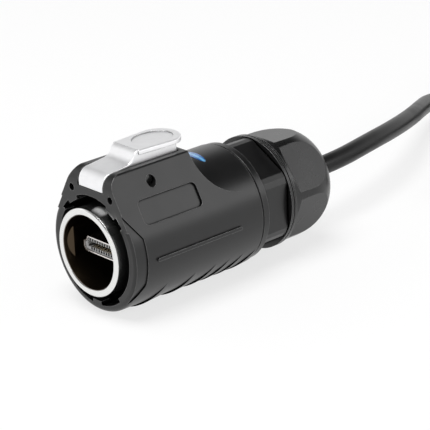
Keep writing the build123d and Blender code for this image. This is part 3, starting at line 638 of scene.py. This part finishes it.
class PlasticSettings(bpy.types.PropertyGroup):
    """The moulded and the rubber pieces"""

    housing_colour: FloatVectorProperty(
        name="Housing",
        description="Colour of housing and adapter",
        default=(0.0045, 0.0045, 0.0047),
        subtype="COLOR",
    )
    nut_colour: FloatVectorProperty(
        name="Gland nut",
        description="Colour of the gland nut",
        default=(0.0042, 0.0042, 0.0044),
        subtype="COLOR",
    )
    insert_colour: FloatVectorProperty(
        name="Insert",
        description="Colour of the insert's carrier",
        default=(0.010, 0.008, 0.006),
        subtype="COLOR",
    )
    insulator_colour: FloatVectorProperty(
        name="Insulator", description="Colour of the plug cores", default=grey(0.36), subtype="COLOR"
    )
    # Partly a wear colour, partly a painted highlight on the plastics' edges.
    wear_and_highlight_colour: FloatVectorProperty(
        name="Worn edges",
        description="Colour of edges rubbed by handling",
        default=grey(0.16),
        subtype="COLOR",
    )
    rubber_colour: FloatVectorProperty(
        name="Rubber", description="Colour of seals and strain relief", default=grey(0.012), subtype="COLOR"
    )
    grain: FloatProperty(
        name="Grain", description="Size of the plastic's grain", default=0.00022, unit="LENGTH"
    )
    rough: FloatProperty(
        name="Roughness", description="Roughness of the plastic", default=0.32, subtype="FACTOR"
    )


class MetalSettings(bpy.types.PropertyGroup):
    """The metal pieces"""

    sleeve_colour: FloatVectorProperty(
        name="Sleeve", description="Colour of the turned sleeve", default=(0.84, 0.84, 0.83), subtype="COLOR"
    )
    bore_colour: FloatVectorProperty(
        name="Sleeve bore",
        description="Colour inside the turned sleeve",
        default=(0.07, 0.052, 0.034),
        subtype="COLOR",
    )
    latch_colour: FloatVectorProperty(
        name="Latch", description="Colour of the cast latch", default=(0.95, 0.95, 0.96), subtype="COLOR"
    )
    shell_colour: FloatVectorProperty(
        name="Plug shells",
        description="Colour of the folded shells",
        default=(0.8, 0.76, 0.74),
        subtype="COLOR",
    )
    steel_colour: FloatVectorProperty(
        name="Spring",
        description="Colour of the latch's spring",
        default=(0.56, 0.56, 0.58),
        subtype="COLOR",
    )
    pin_colour: FloatVectorProperty(
        name="Pin", description="Colour of the latch's blackened pin", default=grey(0.09), subtype="COLOR"
    )
    contact_colour: FloatVectorProperty(
        name="Contacts", description="Colour of the contacts", default=(0.92, 0.84, 0.7), subtype="COLOR"
    )


class StudioSettings(bpy.types.PropertyGroup):
    """Camera and floor"""

    camera_place: FloatVectorProperty(
        name="Camera",
        description="Place of the camera",
        default=(0.36279, -0.27962, 0.18964),
        unit="LENGTH",
    )
    azimuth: FloatProperty(
        name="Azimuth",
        description="Direction of the camera round the plug",
        default=math.radians(48.155),
        subtype="ANGLE",
    )
    elevation: FloatProperty(
        name="Elevation",
        description="Height of the camera as an angle",
        default=math.radians(21.551),
        subtype="ANGLE",
    )
    roll: FloatProperty(
        name="Roll",
        description="Turn of the camera about its view",
        default=math.radians(-2.405),
        subtype="ANGLE",
    )
    lens: FloatProperty(
        name="Lens", description="Focal length on a 36 mm sensor", default=158.13, unit="CAMERA"
    )
    floor_colour: FloatVectorProperty(
        name="Floor", description="Colour of the floor", default=grey(0.9), subtype="COLOR"
    )


# Steps


class PLUG_OT_plastics(bpy.types.Operator):
    """Finishes the moulded pieces"""

    bl_idname = "plug.plastics"
    bl_label = "Moulded pieces"

    def execute(self, context):
        settings = context.scene.plug_plastic
        wear_and_highlight, rough, grain = settings.wear_and_highlight_colour, settings.rough, settings.grain
        housing = moulded_plastic("housing_plastic", settings.housing_colour, wear_and_highlight, rough, grain)
        dress(HOUSING_PIECES + ["far_grip"], housing)
        nut = moulded_plastic("nut_plastic", settings.nut_colour, wear_and_highlight, rough - 0.04, grain)
        dress(NUT_PIECES + ["coil_tie"], nut)
        insert = moulded_plastic("insert_plastic", settings.insert_colour, scaled(wear_and_highlight, 0.3), rough, grain)
        dress(DARK_INSERT_PIECES, insert)
        core = moulded_plastic(
            "core_plastic", settings.insulator_colour, settings.insulator_colour, rough, grain, 0.00005
        )
        dress(INSULATOR_PIECES, core)
        return {"FINISHED"}


class PLUG_OT_rubbers(bpy.types.Operator):
    """Finishes the seals and the strain relief"""

    bl_idname = "plug.rubbers"
    bl_label = "Rubber pieces"

    def execute(self, context):
        rubber = soft_rubber("seal_rubber", context.scene.plug_plastic.rubber_colour, 0.62)
        dress(RUBBER_PIECES, rubber)
        return {"FINISHED"}


class PLUG_OT_metals(bpy.types.Operator):
    """Finishes the sleeve, latch, shells, contacts and pin"""

    bl_idname = "plug.metals"
    bl_label = "Metal pieces"

    def execute(self, context):
        settings = context.scene.plug_metal
        sleeve = turned_metal("sleeve_metal", settings.sleeve_colour, settings.bore_colour, 0.22)
        dress(["mating_sleeve"], sleeve)
        dress(["latch"], cast_metal("latch_metal", settings.latch_colour, 0.46))
        dress(PLUG_SHELL_PIECES, sheet_metal("shell_metal", settings.shell_colour, 0.22))
        dress(["latch_pin"], spring_steel("pin_metal", settings.pin_colour, 0.2))
        dress(CONTACT_PIECES, sheet_metal("contact_metal", settings.contact_colour, 0.25))
        return {"FINISHED"}


class PLUG_OT_spring(bpy.types.Operator):
    """Makes the spring that the latch's pad presses together"""

    bl_idname = "plug.spring"
    bl_label = "Latch spring"

    def execute(self, context):
        settings = context.scene.plug_spring
        steel = spring_steel("spring_metal", context.scene.plug_metal.steel_colour, 0.3)
        low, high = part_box("latch_spring")
        points = spring_points(low, high, settings)
        wire = spline_piece("pad_spring", points, settings.wire_radius, steel)
        shape = bpy.data.meshes.new_from_object(wire.evaluated_get(context.evaluated_depsgraph_get()))
        bpy.data.objects.remove(wire)
        spring = bpy.data.objects.new("pad_spring", shape)
        context.scene.collection.objects.link(spring)
        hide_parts("latch_spring")
        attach(spring, BODY)
        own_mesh(spring)
        return {"FINISHED"}


class PLUG_OT_inner_parts(bpy.types.Operator):
    """Finishes the solder board, the wires and the index mark"""

    bl_idname = "plug.inner_parts"
    bl_label = "Board, wires and mark"

    def execute(self, context):
        dress(["solder_board"], printed_board("board_green", (0.03, 0.14, 0.06)))
        dress(["conductor_fan"], wire_bundle("wire_colours", grey(0.3)))
        dress(["index_mark"], printed_mark("mark_blue", (0.008, 0.11, 0.36)))
        return {"FINISHED"}


class PLUG_OT_cable(bpy.types.Operator):
    """Makes the cable with its coil"""

    bl_idname = "plug.cable"
    bl_label = "Cable"

    def execute(self, context):
        settings = context.scene.plug_cable
        points = cable_points(settings)
        jacket = cable_jacket("cable_jacket", settings.colour, 0.34)
        cable = spline_piece("lead", points, settings.radius, jacket)
        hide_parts("cable", "cable_coil", "cable_tail")
        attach(cable, BODY)
        return {"FINISHED"}


def view_turn(azimuth, elevation, roll):
    """Rotation of a camera that looks at the plug from this direction."""
    back = Vector(
        (
            math.sin(azimuth) * math.cos(elevation),
            -math.cos(azimuth) * math.cos(elevation),
            math.sin(elevation),
        )
    )
    right = Vector((math.cos(azimuth), math.sin(azimuth), 0.0))
    up = back.cross(right)
    turned_right = math.cos(roll) * right + math.sin(roll) * up
    turned_up = -math.sin(roll) * right + math.cos(roll) * up
    return Matrix((turned_right, turned_up, back)).transposed().to_4x4()


def softbox(name, place, size, power):
    """Rectangular area lamp that faces the plug."""
    lamp = bpy.data.lights.new(name, "AREA")
    lamp.shape = "RECTANGLE"
    lamp.size, lamp.size_y = size
    lamp.energy = power
    holder = bpy.data.objects.new(name, lamp)
    bpy.context.scene.collection.objects.link(holder)
    facing = (Vector(place) - Vector(AIM)).to_track_quat("Z", "Y")
    holder.matrix_world = Matrix.Translation(place) @ facing.to_matrix().to_4x4()


class PLUG_OT_studio(bpy.types.Operator):
    """Makes the camera, the floor and the light"""

    bl_idname = "plug.studio"
    bl_label = "Studio"

    def execute(self, context):
        settings = context.scene.plug_studio
        self.add_camera(settings)
        self.add_floor(settings)
        self.add_light()
        context.scene.view_settings.view_transform = "Standard"
        return {"FINISHED"}

    def add_camera(self, settings):
        """The camera, in front of the plug and a little above it."""
        lens = bpy.data.cameras.new("view")
        lens.lens = settings.lens
        lens.sensor_width = 36.0
        lens.clip_start = 0.01
        lens.clip_end = 50.0
        camera = bpy.data.objects.new("view", lens)
        bpy.context.scene.collection.objects.link(camera)
        turn = view_turn(settings.azimuth, settings.elevation, settings.roll)
        camera.matrix_world = Matrix.Translation(settings.camera_place) @ turn
        bpy.context.scene.camera = camera

    def add_floor(self, settings):
        """White floor that glows a little where it is seen, and keeps the plug's shadow."""
        shape = bmesh.new()
        level = Matrix.Translation((0.0, 0.0, FLOOR_Z))
        bmesh.ops.create_grid(shape, x_segments=1, y_segments=1, size=FLOOR_REACH, matrix=level)
        mesh = bpy.data.meshes.new("floor")
        shape.to_mesh(mesh)
        shape.free()
        floor = bpy.data.objects.new("floor", mesh)
        bpy.context.scene.collection.objects.link(floor)
        finish = Finish("floor_white")
        finish.surface(colour=settings.floor_colour, rough=0.9, metal=0.0)
        white = finish.node("ShaderNodeEmission", inputs={"Color": grey(1.0), "Strength": 1.0})
        rays = finish.node("ShaderNodeLightPath")
        kinds = ("Is Camera Ray", "Is Glossy Ray", "Is Transmission Ray")
        camera, glossy, through = (Amount(finish, rays.outputs[kind]) for kind in kinds)
        glow = (camera + glossy + through) * FLOOR_GLOW
        mixed = finish.node(
            "ShaderNodeMixShader", inputs={0: glow, 1: finish.shader.outputs[0], 2: white.outputs[0]}
        )
        ending = next(node for node in finish.tree.nodes if node.type == "OUTPUT_MATERIAL")
        finish.tree.links.new(mixed.outputs[0], ending.inputs["Surface"])
        mesh.materials.append(finish.material)

    def add_light(self):
        """Pale walls round the plug under a dark ceiling, and the softboxes."""
        world = bpy.data.worlds.new("studio")
        bpy.context.scene.world = world
        sky = Shading(world)
        light = sky.tree.nodes["Background"]
        sky.feed(light.inputs["Color"], grey(1.0))
        direction = sky.node("ShaderNodeTexCoord").outputs["Generated"]
        height = Amount(sky, sky.node("ShaderNodeSeparateXYZ", inputs={0: direction}).outputs[2])
        sky.feed(light.inputs["Strength"], 1.0 - height.between(*CEILING_EDGE) * CEILING_DARKNESS)
        for name, (place, size, power) in LAMPS.items():
            softbox(name, place, size, power)


class PLUG_PT_panel(bpy.types.Panel):
    """Steps of the plug, in the order in which they run"""

    bl_idname = "PLUG_PT_panel"
    bl_label = "Cable plug"
    bl_space_type = "VIEW_3D"
    bl_region_type = "UI"
    bl_category = "Cable plug"

    def draw(self, context):
        for step in STEPS:
            self.layout.operator(step.bl_idname)


GROUPS = {
    "plug_plastic": PlasticSettings,
    "plug_metal": MetalSettings,
    "plug_spring": SpringSettings,
    "plug_cable": CableSettings,
    "plug_studio": StudioSettings,
}
STEPS = (
    PLUG_OT_studio,
    PLUG_OT_cable,
    PLUG_OT_plastics,
    PLUG_OT_rubbers,
    PLUG_OT_metals,
    PLUG_OT_spring,
    PLUG_OT_inner_parts,
)


def register():
    """Makes the settings, steps and panel known, with the settings on the scene."""
    for cls in (*GROUPS.values(), *STEPS, PLUG_PT_panel):
        bpy.utils.register_class(cls)
    for name, group in GROUPS.items():
        setattr(bpy.types.Scene, name, PointerProperty(type=group))


def unregister():
    """Takes them away again, in the opposite order."""
    for name in GROUPS:
        delattr(bpy.types.Scene, name)
    for cls in reversed((*GROUPS.values(), *STEPS, PLUG_PT_panel)):
        bpy.utils.unregister_class(cls)


def main():
    """Runs all steps."""
    register()
    for step in STEPS:
        group, name = step.bl_idname.split(".")
        getattr(getattr(bpy.ops, group), name)()


if __name__ == "__main__":
    main()
